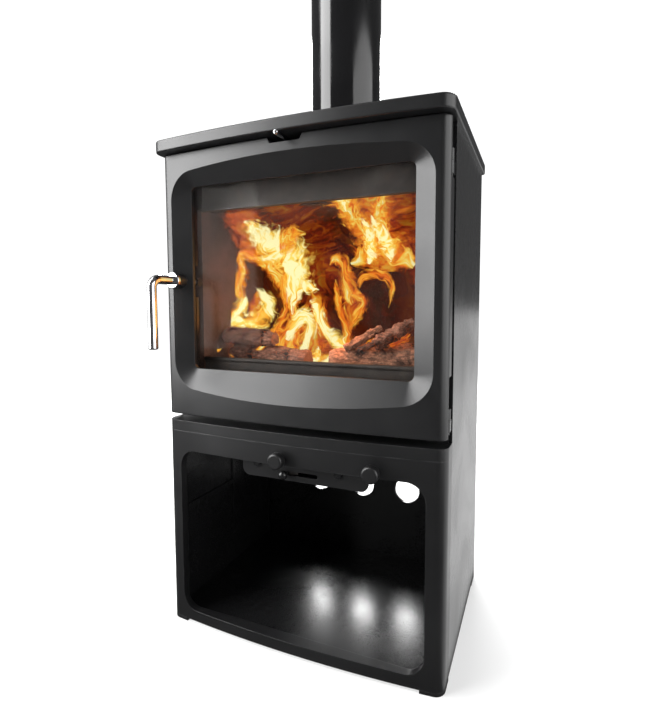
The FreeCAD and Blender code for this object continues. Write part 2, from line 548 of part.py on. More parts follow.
def rope_ring(grow, y0, y1):
    """The rope's ring, or with grow its groove."""
    (x0, x1), (z0, z1) = ROPE_X, ROPE_Z
    w = ROPE_WIDE + grow
    outer = slab(x0 - grow, x1 + grow, z0 - grow, z1 + grow, 12.0, y0, y1)
    return outer.cut(slab(x0 + w, x1 - w, z0 + w, z1 - w, 6.0, y0 - 1, y1 + 1))


# Recess for the air lever in the top edge, and relief beside the hinge so
# that the door clears the front frame and the fixed lugs as it swings.
recess = LEVER_SLOT + 8
notch_low = LEVER_Z - LEVER_R - 1.75
outline = [(-recess - 6, DOOR_TOP + 4), (-recess, notch_low), (recess, notch_low),
           (recess + 6, DOOR_TOP + 4), (-recess - 6, DOOR_TOP + 4)]
notch = Part.Face(Part.makePolygon([V(x, -60, z) for x, z in outline])).extrude(V(0, 120, 0))
door = cut(door, rope_ring(0.5, ROPE_FLOOR, 60), notch,
           box(NOTCH_X + 1, WIDTH, HINGE_Y + 4, 60, 0, 1000),
           box(NOTCH_X, WIDTH, NOTCH_Y, 60, LUGS[1] - 6, 1000),
           box(NOTCH_X, WIDTH, NOTCH_Y, 60, 0, LUGS[0] + LUG_T + 59))
for z in LUGS:
    low = z + LUG_T + SLIDE_GAP
    ear = rod_z(HINGE_R, HINGE_X, HINGE_Y, low, low + KNUCKLE_T)
    web = box(NOTCH_X - 1.1, HINGE_X, HINGE_Y - HINGE_R, HINGE_Y + 4, low, low + KNUCKLE_T)
    door = door.fuse(ear.fuse(web)).cut(
        rod_z(PIN_R + FIT, HINGE_X, HINGE_Y, low - 1, low + KNUCKLE_T + 5))
CLIP_Z = ((PANE_LOW - 6.5, 1), (PANE_HIGH + 6.5, -1))
CLIPS = [(x, z, up) for z, up in CLIP_Z for x in (70 - PANE_HALF, 0.0, PANE_HALF - 70)]
CLIP_SCREW_R = 2.0
shaft_hole = rod_y(SHAFT_R + FIT, HANDLE_X, HANDLE_Z, -90, 60)
door = cut(door, shaft_hole,
           *[rod_y(CLIP_SCREW_R + HOLE_GAP, x, z, DOOR_BACK - 9, 60) for x, z, up in CLIPS])
door = door.removeSplitter()
save("door_casting", door)

save("door_glass", slab(-PANE_HALF, PANE_HALF, PANE_LOW, PANE_HIGH, 5.0, PANE_FRONT, PANE_BACK))
tape = slab(-PANE_HALF, PANE_HALF, PANE_LOW, PANE_HIGH, 5.0, GLASS_SEAT, PANE_FRONT)
save("glass_gasket", tape.cut(slab(-GLASS_HALF - 3, GLASS_HALF + 3, GLASS_LOW - 3,
                                   GLASS_HIGH + 3, 6.0, 0, 60)))
save("door_rope_seal", rope_ring(0.0, ROPE_FLOOR, ROPE_BACK))

CLIP_T = 1.5
clips, screws = [], []
for x, z, up in CLIPS:
    low, high = sorted((z - up * 6, z + up * 13))
    clip = box(x - 12, x + 12, DOOR_BACK, DOOR_BACK + CLIP_T, low, high)
    low, high = sorted((z + up * 8, z + up * 13))
    clip = clip.fuse(box(x - 12, x + 12, PANE_BACK, DOOR_BACK, low, high)).removeSplitter()
    clips.append(cut(clip, rod_y(CLIP_SCREW_R + HOLE_GAP, x, z, 0, 60)))
    screw = rod_y(3.5, x, z, DOOR_BACK + CLIP_T, DOOR_BACK + CLIP_T + 1.1)
    shank = rod_y(CLIP_SCREW_R, x, z, DOOR_BACK - 8, DOOR_BACK + CLIP_T)
    screws.append(screw.fuse(shank).removeSplitter())
save("glass_clips", *clips)
save("glass_clip_screws", *screws)

# ---------------------------------------------------------------- hinges
lugs, pins = [], []
for z in LUGS:
    lug = rod_z(HINGE_R, HINGE_X, HINGE_Y, z, z + LUG_T)
    lug = lug.fuse(box(HINGE_X - HINGE_R, HINGE_X + HINGE_R - 0.5, HINGE_Y, FRAME_FRONT,
                       z, z + LUG_T)).removeSplitter()
    lugs.append(cut(lug, rod_z(PIN_R, HINGE_X, HINGE_Y, z - 9, z + LUG_T + 9)))
    pin = rod_z(PIN_R, HINGE_X, HINGE_Y, z - 3, z + LUG_T + KNUCKLE_T - 1)
    pins.append(pin.fuse(rod_z(PIN_R + 2, HINGE_X, HINGE_Y, z - 4, z)).removeSplitter())
save("hinge_lugs", *lugs)
save("hinge_pins", *pins)

# ---------------------------------------------------------------- handle and latch
boss = rod_y(BOSS_R, HANDLE_X, HANDLE_Z, BOSS_FRONT, 8)
boss = boss.makeFillet(2.0, front_edge(boss, BOSS_FRONT))
save("handle_boss", boss.cut(shaft_hole).cut(door))
SHAFT_FRONT = COLLAR_FRONT + 0.5
shaft = rod_y(SHAFT_R, HANDLE_X, HANDLE_Z, SHAFT_FRONT, CAM_BACK + NUT_T + 2)
save("handle_shaft", shaft)
collar = rod_y(COLLAR_R, HANDLE_X, HANDLE_Z, COLLAR_FRONT, COLLAR_BACK)
collar = collar.makeFillet(1.8, front_edge(collar, COLLAR_FRONT))
save("handle_collar", collar.cut(shaft))

bend = BAR_BEND * (1 - math.sqrt(0.5))
a = V(HANDLE_X, COLLAR_FRONT, HANDLE_Z)
b = V(HANDLE_X, BAR_Y + BAR_BEND, HANDLE_Z)
m = V(HANDLE_X, BAR_Y + bend, HANDLE_Z - bend)
c = V(HANDLE_X, BAR_Y, HANDLE_Z - BAR_BEND)
d = V(HANDLE_X, BAR_Y, HANDLE_Z - BAR_LENGTH)
path = Part.Wire([Part.makeLine(a, b), Part.Arc(b, m, c).toShape(), Part.makeLine(c, d)])
profile = Part.Wire(Part.Circle(a, V(0, 1, 0), BAR_R).toShape())
bar = path.makePipeShell([profile], True, False)
tip = [e for e in bar.Edges if e.BoundBox.ZMax < HANDLE_Z - BAR_LENGTH + 0.1]
save("handle_bar", bar.makeFillet(2.5, tip))

cam = slab(HANDLE_X - CAM_LONG, HANDLE_X + CAM_HALF + 1, HANDLE_Z - CAM_HALF,
           HANDLE_Z + CAM_HALF, CAM_HALF - 0.5, CAM_FRONT, CAM_BACK)
save("latch_cam", cam.cut(shaft))
save("latch_nut", hex_y(3 * SHAFT_R, HANDLE_X, HANDLE_Z, CAM_BACK, CAM_BACK + NUT_T).cut(shaft))
save("latch_keep", box(0.5 - INNER, WINDOW_X - 1, FRAME_BACK, FRAME_BACK + KEEP_T,
                       HANDLE_Z - 16, HANDLE_Z + 16))

# ---------------------------------------------------------------- the fire
LOG_PEAK = 1.18          # a log's longest radius over its middling one


def log(x0, y0, r0, x1, y1, r1, sides):
    """A split log lying on the fire bed: a tapered many-sided bar.

    Y is given from the front bricks back.
    """
    a = V(x0, BRICK_FRONT + y0, BED + 0.4 + LOG_PEAK * r0)
    b = V(x1, BRICK_FRONT + y1, BED + 0.4 + LOG_PEAK * r1)
    axis = (b - a).normalize()
    side = axis.cross(V(0, 0, 1)).normalize()
    up = side.cross(axis)
    wires = []
    for end, r in ((a, r0), (b, r1)):
        pts = []
        for i in range(sides + 1):
            t = 2 * math.pi * (i % sides) / sides
            s = r * (1 + 0.10 * math.sin(3 * t) - 0.08 * math.cos(2 * t))
            pts.append(end + side * (s * math.cos(t)) + up * (s * math.sin(t)))
        wires.append(Part.makePolygon(pts))
    return Part.makeLoft(wires, True, True)


BACK_LOG = BRICK_BACK - BRICK_FRONT - 70
save("fire_logs",
     log(-182, 62, 22, -18, 38, 20, 12),
     log(20, 46, 19, 184, 68, 23, 11),
     log(-150, BACK_LOG, 24, 140, BACK_LOG + 8, 22, 12))
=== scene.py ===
# %% [markdown]
# # A wood burning stove, lit
#
# A freestanding stove: a firebox with a bow-fronted, glazed door, standing on
# an open log store, with a round flue pipe rising from the top.  The metal
# shell, the door, the hinges and the controls are already modelled with real
# sizes.  This lesson dresses them: paint, cast iron, polished handle, fire
# glass, brick, logs and the fire itself, and then the studio around them.

# %% Load the frame
import json
import math
import random

import bmesh
import bpy
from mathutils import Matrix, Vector, noise

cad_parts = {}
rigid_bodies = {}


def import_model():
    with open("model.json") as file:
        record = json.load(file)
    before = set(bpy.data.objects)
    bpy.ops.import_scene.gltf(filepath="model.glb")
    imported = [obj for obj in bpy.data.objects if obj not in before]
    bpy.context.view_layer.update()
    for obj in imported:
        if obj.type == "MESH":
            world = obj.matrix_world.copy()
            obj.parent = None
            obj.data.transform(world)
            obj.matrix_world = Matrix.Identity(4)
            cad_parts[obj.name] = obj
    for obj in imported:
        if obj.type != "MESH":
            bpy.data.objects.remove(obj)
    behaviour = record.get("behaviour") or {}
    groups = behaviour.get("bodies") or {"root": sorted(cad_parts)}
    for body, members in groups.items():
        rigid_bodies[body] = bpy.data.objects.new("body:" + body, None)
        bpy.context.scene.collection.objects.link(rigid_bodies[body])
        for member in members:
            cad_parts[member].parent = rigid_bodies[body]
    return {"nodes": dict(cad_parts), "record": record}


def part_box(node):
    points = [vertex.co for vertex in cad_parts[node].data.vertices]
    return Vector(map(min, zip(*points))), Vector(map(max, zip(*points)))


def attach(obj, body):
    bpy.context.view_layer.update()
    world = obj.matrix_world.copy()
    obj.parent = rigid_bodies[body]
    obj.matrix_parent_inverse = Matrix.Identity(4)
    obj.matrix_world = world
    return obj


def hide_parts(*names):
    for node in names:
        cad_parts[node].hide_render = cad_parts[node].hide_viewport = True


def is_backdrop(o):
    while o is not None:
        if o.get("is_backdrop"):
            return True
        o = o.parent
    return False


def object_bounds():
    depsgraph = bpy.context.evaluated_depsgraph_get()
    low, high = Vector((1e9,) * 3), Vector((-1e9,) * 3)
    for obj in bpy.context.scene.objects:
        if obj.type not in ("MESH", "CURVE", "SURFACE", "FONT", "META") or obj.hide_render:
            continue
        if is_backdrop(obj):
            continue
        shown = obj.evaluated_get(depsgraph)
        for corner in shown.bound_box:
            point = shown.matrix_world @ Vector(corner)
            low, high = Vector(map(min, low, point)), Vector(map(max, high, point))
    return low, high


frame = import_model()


def save_size(key, into):
    low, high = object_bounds()
    into[key] = [[round(v, 5) for v in low], [round(v, 5) for v in high]]


SIZE = {}
save_size("loaded", SIZE)
print("nodes:", len(frame["nodes"]), "box:", SIZE["loaded"])

# %% [markdown]
# ## Small helpers for materials
#
# Every finish below is a small node tree.  These helpers keep the trees short.
# `new_material` makes an empty tree and `add` puts in a node with its inputs.
# `place`, `pattern`, `between` and `ramp` give coordinates, noise, a range and
# a colour ramp; `mixed`, `maths` and `bumped` join what they give.

# %% Material helpers


def new_material(name):
    mat = bpy.data.materials.new(name)
    mat.use_nodes = True
    tree = mat.node_tree
    tree.nodes.clear()
    out = tree.nodes.new("ShaderNodeOutputMaterial")
    return mat, tree, out


def add(tree, kind, inputs=None, **settings):
    node = tree.nodes.new(kind)
    for key, value in settings.items():
        setattr(node, key, value)
    for key, value in (inputs or {}).items():
        if isinstance(value, bpy.types.NodeSocket):
            tree.links.new(value, node.inputs[key])
        else:
            node.inputs[key].default_value = value
    return node


def place(tree, stretch=(1, 1, 1)):
    """Object coordinates, stretched; they stay put as a piece moves."""
    coord = add(tree, "ShaderNodeTexCoord")
    return add(tree, "ShaderNodeMapping", {"Vector": coord.outputs["Object"],
               "Scale": stretch}).outputs["Vector"]


def pattern(tree, where, scale, detail=4.0, rough=0.55, twist=0.0):
    node = add(tree, "ShaderNodeTexNoise", {"Vector": where, "Scale": scale,
               "Detail": detail, "Roughness": rough, "Distortion": twist})
    return node.outputs["Fac"]


def between(tree, value, low, high, to_low=0.0, to_high=1.0):
    node = add(tree, "ShaderNodeMapRange", {"Value": value, "From Min": low,
               "From Max": high, "To Min": to_low, "To Max": to_high})
    return node.outputs["Result"]


def ramp(tree, value, *stops):
    """A colour ramp: each stop is (position, colour)."""
    node = add(tree, "ShaderNodeValToRGB", {"Fac": value})
    bar = node.color_ramp
    while len(bar.elements) < len(stops):
        bar.elements.new(0.5)
    for element, (where, colour) in zip(bar.elements, stops):
        element.position = where
        element.color = (*colour, 1.0)
    return node.outputs["Color"]


def mixed(tree, factor, a, b, mode="MIX"):
    node = add(tree, "ShaderNodeMix", data_type="RGBA", blend_type=mode)
    for key, value in (("Factor", factor), ("A", a), ("B", b)):
        socket = [s for s in node.inputs if s.name == key and s.enabled][0]
        if isinstance(value, bpy.types.NodeSocket):
            tree.links.new(value, socket)
        else:
            socket.default_value = value
    return [s for s in node.outputs if s.enabled][0]


def maths(tree, operation, a, b=0.0, clamp=False):
    node = add(tree, "ShaderNodeMath", operation=operation, use_clamp=clamp)
    for socket, value in zip(node.inputs, (a, b)):
        if isinstance(value, bpy.types.NodeSocket):
            tree.links.new(value, socket)
        else:
            socket.default_value = value
    return node.outputs["Value"]


def bumped(tree, height, strength, distance, soften=0.0):
    inputs = {"Height": height, "Strength": strength, "Distance": distance}
    if soften:
        bevel = add(tree, "ShaderNodeBevel", {"Radius": soften}, samples=4)
        inputs["Normal"] = bevel.outputs["Normal"]
    return add(tree, "ShaderNodeBump", inputs).outputs["Normal"]


print("nine helpers for node trees, from", new_material.__name__, "to", bumped.__name__)


# %% [markdown]
# ## Stove paint and painted castings
#
# Stove paint is a dead black silicone paint, baked on by the first fires.  It
# is neither glossy nor quite matt: broad lamps smear over it as soft grey
# veils.  On the castings the sand of the mould still shows as a fine grain, a
# little under a millimetre across.  Handling rubs the edges slightly brighter
# and dust settles in faint patches.

# %% Painted steel and castings


def painted(name, colour, roughness, grain, depth, soften):
    mat, tree, out = new_material(name)
    where = place(tree)
    fine = pattern(tree, where, grain, 5.0, 0.6)
    patches = pattern(tree, where, 6.0, 4.0, 0.55, 0.6)
    smudges = pattern(tree, where, 28.0, 3.0, 0.5)
    bevel = add(tree, "ShaderNodeBevel", {"Radius": soften * 2.2}, samples=4)
    plain = add(tree, "ShaderNodeNewGeometry")
    turn = add(tree, "ShaderNodeVectorMath", {0: bevel.outputs["Normal"],
               1: plain.outputs["Normal"]}, operation="DOT_PRODUCT")
    worn = between(tree, turn.outputs["Value"], 0.995, 0.80)
    worn = maths(tree, "MULTIPLY", worn, between(tree, smudges, 0.42, 0.62))
    dark = tuple(c * 0.72 for c in colour)
    base = mixed(tree, between(tree, patches, 0.35, 0.65), (*dark, 1), (*colour, 1))
    base = mixed(tree, maths(tree, "MULTIPLY", worn, 0.45), base, (0.07, 0.07, 0.072, 1))
    rough = between(tree, patches, 0.3, 0.7, roughness - 0.05, roughness + 0.06)
    rough = maths(tree, "ADD", rough, between(tree, fine, 0.3, 0.7, -0.04, 0.04))
    rough = maths(tree, "SUBTRACT", rough, maths(tree, "MULTIPLY", worn, 0.08))
    normal = bumped(tree, fine, 0.35, depth, soften)
    shader = add(tree, "ShaderNodeBsdfPrincipled", {"Base Color": base,
                 "Roughness": rough, "Normal": normal, "IOR": 1.5})
    tree.links.new(shader.outputs[0], out.inputs["Surface"])
    return mat


PAINT = painted("stove_paint", (0.008, 0.008, 0.0085), 0.27, 900.0, 0.00008, 0.0006)
CAST = painted("cast_black", (0.009, 0.009, 0.0095), 0.36, 620.0, 0.00022, 0.0009)
PIPE = painted("pipe_enamel", (0.007, 0.007, 0.0075), 0.13, 500.0, 0.00003, 0.0004)
print("paints:", PAINT.name, CAST.name, PIPE.name)

# %% [markdown]
# ## Bare and polished metal
#
# The handle and the air lever are polished and plated, so they mirror the room
# with only a faint haze and hair-fine scratches.  Shafts and pins are turned
# steel.  The parts inside the fire are mild steel, blued and dulled by heat
# and dusted with ash.

# %% Metals


def metal(name, colour, roughness, scratch, along=(1, 1, 1)):
    mat, tree, out = new_material(name)
    where = place(tree, along)
    lines = pattern(tree, where, 700.0, 3.0, 0.6)
    haze = pattern(tree, place(tree), 35.0, 4.0, 0.55)
    base = mixed(tree, between(tree, haze, 0.3, 0.7), (*colour, 1),
                 (*(c * 0.88 for c in colour), 1))
    rough = between(tree, haze, 0.3, 0.7, roughness, roughness + scratch)
    normal = bumped(tree, lines, 0.12, 0.00004)
    shader = add(tree, "ShaderNodeBsdfPrincipled", {"Base Color": base,
                 "Metallic": 1.0, "Roughness": rough, "Normal": normal})
    tree.links.new(shader.outputs[0], out.inputs["Surface"])
    return mat


def fired_steel(name):
    mat, tree, out = new_material(name)
    where = place(tree)
    scale = pattern(tree, where, 45.0, 6.0, 0.65, 0.8)
    ash = pattern(tree, where, 14.0, 5.0, 0.6, 0.4)
    base = ramp(tree, scale, (0.30, (0.012, 0.011, 0.010)), (0.52, (0.028, 0.024, 0.022)),
                (0.70, (0.050, 0.037, 0.030)))
    base = mixed(tree, between(tree, ash, 0.55, 0.75, 0.0, 0.45), base,
                 (0.10, 0.095, 0.09, 1))
    rough = between(tree, scale, 0.3, 0.7, 0.48, 0.72)
    normal = bumped(tree, scale, 0.4, 0.0004, 0.0006)
    shader = add(tree, "ShaderNodeBsdfPrincipled", {"Base Color": base,
                 "Metallic": 0.35, "Roughness": rough, "Normal": normal})
    tree.links.new(shader.outputs[0], out.inputs["Surface"])
    return mat


CHROME = metal("polished_chrome", (0.78, 0.78, 0.80), 0.045, 0.05)
TURNED = metal("plain_steel", (0.50, 0.50, 0.51), 0.22, 0.12, (1, 30, 1))
FIRED = fired_steel("mild_steel")
print("metals:", CHROME.name, TURNED.name, FIRED.name)

# %% [markdown]
# ## Firebrick, rope and glass
#
# The bricks are pressed vermiculite: pale and crumbly when new, browned and
# sooted in use, darkest high up.  The rope is a woven glass fibre.  The pane is
# ceramic fire glass.  It lets the fire through almost untouched and adds a
# thin mirror of the room; a breath of soot greys its edges.

# %% Brick, rope and glass


def brick():
    mat, tree, out = new_material("fire_brick")
    where = place(tree)
    crumb = pattern(tree, where, 160.0, 8.0, 0.7)
    soot = pattern(tree, where, 9.0, 5.0, 0.6, 0.7)
    coord = add(tree, "ShaderNodeTexCoord")
    height = add(tree, "ShaderNodeSeparateXYZ", {0: coord.outputs["Object"]}).outputs["Z"]
    base = ramp(tree, crumb, (0.30, (0.070, 0.040, 0.032)), (0.55, (0.140, 0.082, 0.062)),
                (0.75, (0.200, 0.125, 0.095)))
    black = maths(tree, "ADD", between(tree, height, 0.45, 0.70, 0.25, 0.8),
                  between(tree, soot, 0.35, 0.7, -0.25, 0.35), clamp=True)
    base = mixed(tree, black, base, (0.022, 0.016, 0.014, 1))
    normal = bumped(tree, crumb, 0.8, 0.0012, 0.0015)
    shader = add(tree, "ShaderNodeBsdfPrincipled", {"Base Color": base,
                 "Roughness": 0.9, "Normal": normal})
    tree.links.new(shader.outputs[0], out.inputs["Surface"])
    return mat


def rope():
    mat, tree, out = new_material("rope_seal")
    where = place(tree)
    weave = add(tree, "ShaderNodeTexWave", {"Vector": where, "Scale": 260.0,
                "Distortion": 1.5, "Detail": 2.0}, bands_direction="DIAGONAL")
    base = mixed(tree, weave.outputs["Fac"], (0.018, 0.018, 0.018, 1), (0.07, 0.07, 0.07, 1))
    normal = bumped(tree, weave.outputs["Fac"], 0.7, 0.0006)
    shader = add(tree, "ShaderNodeBsdfPrincipled", {"Base Color": base,
                 "Roughness": 0.85, "Normal": normal})
    tree.links.new(shader.outputs[0], out.inputs["Surface"])
    return mat


MIRROR_SHARE = 0.0016


def glass():
    mat, tree, out = new_material("fire_glass")
    where = place(tree)
    haze = pattern(tree, where, 5.0, 5.0, 0.6, 0.5)
    grime = between(tree, haze, 0.45, 0.75, 0.0, 0.10)
    clear = add(tree, "ShaderNodeBsdfTransparent", {"Color": (0.97, 0.96, 0.95, 1)})
    mirror = add(tree, "ShaderNodeBsdfGlossy", {"Color": (1, 1, 1, 1),
                 "Roughness": between(tree, haze, 0.3, 0.7, 0.02, 0.06)})
    film = add(tree, "ShaderNodeBsdfDiffuse", {"Color": (0.10, 0.09, 0.085, 1)})
    veil = add(tree, "ShaderNodeMixShader", {0: grime, 1: clear.outputs[0],
               2: film.outputs[0]})
    full = add(tree, "ShaderNodeMixShader", {0: MIRROR_SHARE, 1: veil.outputs[0],
               2: mirror.outputs[0]})
    tree.links.new(full.outputs[0], out.inputs["Surface"])
    return mat


BRICK, ROPE, GLASS = brick(), rope(), glass()
print("fire side:", BRICK.name, ROPE.name, GLASS.name)

# %% [markdown]
# ## Dressing the metalwork
#
# Each ready-made node keeps its shape and takes a finish.  The record says
# which slot each node belongs to, so most of this is a lookup.  The pipe is
# glossier than the body: it is enamelled, and shows one hard streak of light.

# %% Give each node its finish
FINISH = {"stove_paint": PAINT, "cast_black": CAST, "mild_steel": FIRED,
          "plain_steel": TURNED, "polished_chrome": CHROME, "fire_brick": BRICK,
          "fire_glass": GLASS, "rope_seal": ROPE}
SPECIAL = {"flue_pipe": PIPE, "air_slider_ball": PAINT, "boost_air_rod": PAINT,
           "control_bolts": PAINT, "air_box": PAINT, "riddling_linkage": PAINT,
           "hinge_pins": PAINT}


def dress(node, mat):
    mesh = frame["nodes"][node].data
    mesh.materials.clear()
    mesh.materials.append(mat)


for part in frame["record"]["subparts"]:
    mat = SPECIAL.get(part["node"]) or FINISH.get(part["material_slot"])
    if mat:
        dress(part["node"], mat)

# %% [markdown]
# ## Logs
#
# The ready-made logs are plain bars that keep the space on the fire bed.  They
# give way to logs with ragged bark, a split face and charred patches.  The
# bark's pattern is squeezed across the log, so that it furrows lengthways, and
# its cracks glow where the wood is charred.

# %% Bark material


def bark(name, tone, glow):
    mat, tree, out = new_material(name)
    coord = add(tree, "ShaderNodeTexCoord")
    long = add(tree, "ShaderNodeMapping", {"Vector": coord.outputs["UV"],
               "Scale": (3.0, 1.0, 1.0)}).outputs["Vector"]
    furrow = pattern(tree, long, 9.0, 8.0, 0.7, 0.6)
    char = pattern(tree, place(tree), 22.0, 6.0, 0.65, 0.9)
    base = ramp(tree, furrow, (0.34, tuple(c * 0.25 for c in tone)), (0.52, tone),
                (0.72, tuple(min(1, c * 2.2) for c in tone)))
    base = mixed(tree, between(tree, char, 0.50, 0.64), base, (0.016, 0.012, 0.011, 1))
    cracks = add(tree, "ShaderNodeTexVoronoi", {"Vector": place(tree), "Scale": 85.0},
                 feature="DISTANCE_TO_EDGE")
    hot = between(tree, cracks.outputs["Distance"], 0.035, 0.0)
    hot = maths(tree, "MULTIPLY", hot, between(tree, char, 0.46, 0.62))
    normal = bumped(tree, furrow, 0.9, 0.0022)
    shader = add(tree, "ShaderNodeBsdfPrincipled", {"Base Color": base, "Roughness": 0.88,
                 "Normal": normal, "Emission Color": (1.0, 0.16, 0.02, 1),
                 "Emission Strength": maths(tree, "MULTIPLY", hot, glow)})
    tree.links.new(shader.outputs[0], out.inputs["Surface"])
    return mat


BARK = bark("charred_wood", (0.36, 0.17, 0.11), 0.5)
BROWN = bark("split_wood", (0.46, 0.22, 0.13), 0.15)
print("wood:", BARK.name, BROWN.name)

# %% [markdown]
# A log is a closed tube along a line, bent a little.  Noise pushes its skin in
# and out, one side is flatter where the wood was split, and both ends draw in.
# Three logs take the places of the bars, a thinner one lies across the left
# end, and three splinters lean on the right.  All of them stay on the stove.

# %% Build the logs


def stove_piece(name, mesh, mat):
    """Make an object of the drawn mesh; it stays with the stove's body."""
    data = bpy.data.meshes.new(name)
    mesh.to_mesh(data)
    mesh.free()
    data.materials.append(mat)
    obj = bpy.data.objects.new(name, data)
    bpy.context.collection.objects.link(obj)
    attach(obj, "stove")
    return obj


def tube(name, path, radius, mat, sides=40, rings=60, rough=0.18, seed=0):
    """A closed log along a path of points, with a furrowed skin."""
    mesh = bmesh.new()
    uv = mesh.loops.layers.uv.new("UVMap")
    shift = Vector((seed * 7.3, seed * 3.1, seed * 5.7))
    a, b = Vector(path[0]), Vector(path[1])
    axis = (b - a).normalized()
    side = axis.cross(Vector((0, 0, 1))).normalized()
    up = side.cross(axis)
    grid = []
    for i in range(rings + 1):
        t = i / rings
        centre = a.lerp(b, t) + up * (0.05 * radius * math.sin(3.0 * t + seed))
        end = min(1.0, 0.80 + 0.06 * min(t, 1 - t) * rings)
        ring = []
        for k in range(sides):
            turn = 2 * math.pi * k / sides
            way = side * math.cos(turn) + up * math.sin(turn)
            spot = Vector((t * 3.0, math.cos(turn) * 2.2, math.sin(turn) * 2.2)) + shift
            push = noise.fractal(spot * 1.6, 0.8, 2.1, 5)
            flat = 1 - 0.16 * max(0.0, math.cos(turn - 1.9 + seed)) ** 3
            ring.append(mesh.verts.new(
                centre + way * radius * end * flat * (1 - rough * 0.5 + rough * push)))
        grid.append(ring)
    for i in range(rings):
        for k in range(sides):
            n = (k + 1) % sides
            face = mesh.faces.new((grid[i][k], grid[i][n], grid[i + 1][n], grid[i + 1][k]))
            face.smooth = True
            corners = ((i, k), (i, k + 1), (i + 1, k + 1), (i + 1, k))
            for loop, (ti, tk) in zip(face.loops, corners):
                loop[uv].uv = (tk / sides, 2.0 * ti / rings)
    for ring, flip in ((grid[0], True), (grid[-1], False)):
        cap = mesh.faces.new(ring[::-1] if flip else ring)
        for loop in cap.loops:
            loop[uv].uv = (0.5, 0.5)
    return stove_piece(name, mesh, mat)


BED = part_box("firebricks_base")[1].z
log_left = tube("log_left", ((-0.182, -0.009, BED + 0.0265), (-0.018, -0.033, BED + 0.024)),
                0.0205, BARK, seed=1)
log_right = tube("log_right", ((0.020, -0.025, BED + 0.023), (0.184, -0.003, BED + 0.0275)),
                 0.0215, BROWN, seed=2)
log_back = tube("log_back", ((-0.150, 0.085, BED + 0.028), (0.140, 0.093, BED + 0.026)),
                0.0230, BARK, rings=90, seed=3)
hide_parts("fire_logs")
log_upper = tube("log_upper", ((-0.196, -0.012, BED + 0.060), (-0.082, -0.030, BED + 0.058)),
                 0.0165, BARK, rings=40, rough=0.3, seed=7)
splinter_1 = tube("splinter_1", ((0.050, -0.040, BED + 0.046), (0.104, -0.012, BED + 0.078)),
                  0.0085, BROWN, sides=18, rings=24, rough=0.5, seed=4)
splinter_2 = tube("splinter_2", ((0.096, -0.030, BED + 0.052), (0.150, 0.010, BED + 0.086)),
                  0.0130, BARK, sides=20, rings=24, rough=0.5, seed=5)
splinter_3 = tube("splinter_3", ((0.074, -0.044, BED + 0.044), (0.110, -0.030, BED + 0.060)),
                  0.0060, BARK, sides=16, rings=20, rough=0.5, seed=6)

# %% [markdown]
# ## Embers
#
# Under the logs lies a bed of broken charcoal.  Each lump is a small rock:
# a ball whose points are pushed about and squashed.  Lumps glow from their
# cracks and in hot patches.  Larger embers lie behind the front logs, and fine
# crumbs lie before them.

# %% Embers


def coal(name, glow):
    mat, tree, out = new_material(name)
    where = place(tree)
    crack = add(tree, "ShaderNodeTexVoronoi", {"Vector": where, "Scale": 64.0},
                feature="DISTANCE_TO_EDGE").outputs["Distance"]
    heat = pattern(tree, where, 26.0, 4.0, 0.6, 0.5)
    skin = pattern(tree, where, 150.0, 6.0, 0.65)
    base = ramp(tree, skin, (0.35, (0.010, 0.008, 0.008)), (0.65, (0.075, 0.060, 0.055)))
    hot = maths(tree, "MULTIPLY", between(tree, crack, 0.07, 0.0),
                between(tree, heat, 0.40, 0.62))
    hot = maths(tree, "ADD", hot, between(tree, heat, 0.56, 0.74, 0.0, 0.55))
    colour = ramp(tree, heat, (0.42, (0.75, 0.03, 0.004)), (0.60, (1.0, 0.20, 0.02)),
                  (0.75, (1.0, 0.45, 0.10)))
    normal = bumped(tree, skin, 0.8, 0.0012)
    shader = add(tree, "ShaderNodeBsdfPrincipled", {"Base Color": base, "Roughness": 0.9,
                 "Normal": normal, "Emission Color": colour,
                 "Emission Strength": maths(tree, "MULTIPLY", hot, glow)})
    tree.links.new(shader.outputs[0], out.inputs["Surface"])
    return mat


COAL = coal("glowing_coal", 0.8)


def lumps(name, count, x0, x1, y0, y1, small, large, seed):
    """Broken charcoal heaped inside a rectangle of the fire bed."""
    rng = random.Random(seed)
    mesh = bmesh.new()
    for i in range(count):
        size = rng.uniform(small, large)
        x, y = rng.uniform(x0, x1), rng.uniform(y0, y1)
        z = BED + size * 0.55 + rng.random() ** 2 * 0.010
        made = bmesh.ops.create_icosphere(mesh, subdivisions=2, radius=1.0)["verts"]
        squash = Vector((rng.uniform(0.7, 1.5), rng.uniform(0.6, 1.1), rng.uniform(0.5, 0.8)))
        turn = rng.uniform(0, math.pi)
        for v in made:
            p = v.co * (1 + 0.35 * noise.noise(v.co * 1.9 + Vector((i, seed, 2 * i))))
            p = Vector((p.x * squash.x, p.y * squash.y, p.z * squash.z)) * size
            v.co = (x + p.x * math.cos(turn) - p.y * math.sin(turn),
                    y + p.x * math.sin(turn) + p.y * math.cos(turn),
                    max(BED + 0.0006, z + p.z))
    obj = stove_piece(name, mesh, COAL)
    return obj


embers = lumps("embers", 70, -0.180, 0.180, 0.020, 0.130, 0.006, 0.012, 5)
crumbs = lumps("ash_crumbs", 70, -0.185, 0.185, -0.064, -0.005, 0.002, 0.005, 8)
print("ember faces:", len(embers.data.polygons), "crumb faces:", len(crumbs.data.polygons))

# %% [markdown]
# ## Flames
#
# A flame has no surface, but a sheet of glowing gas seen from the side looks
# like a ribbon: bright and yellow-white along its heart, orange outside, torn
# and red at its tip.  Each tongue is a ribbon that follows a few points and
# widens and narrows on the way.  Across the ribbon the light fades to nothing
# at both edges; noise that is stretched along the flow tears it into strands.

# %% Flame material


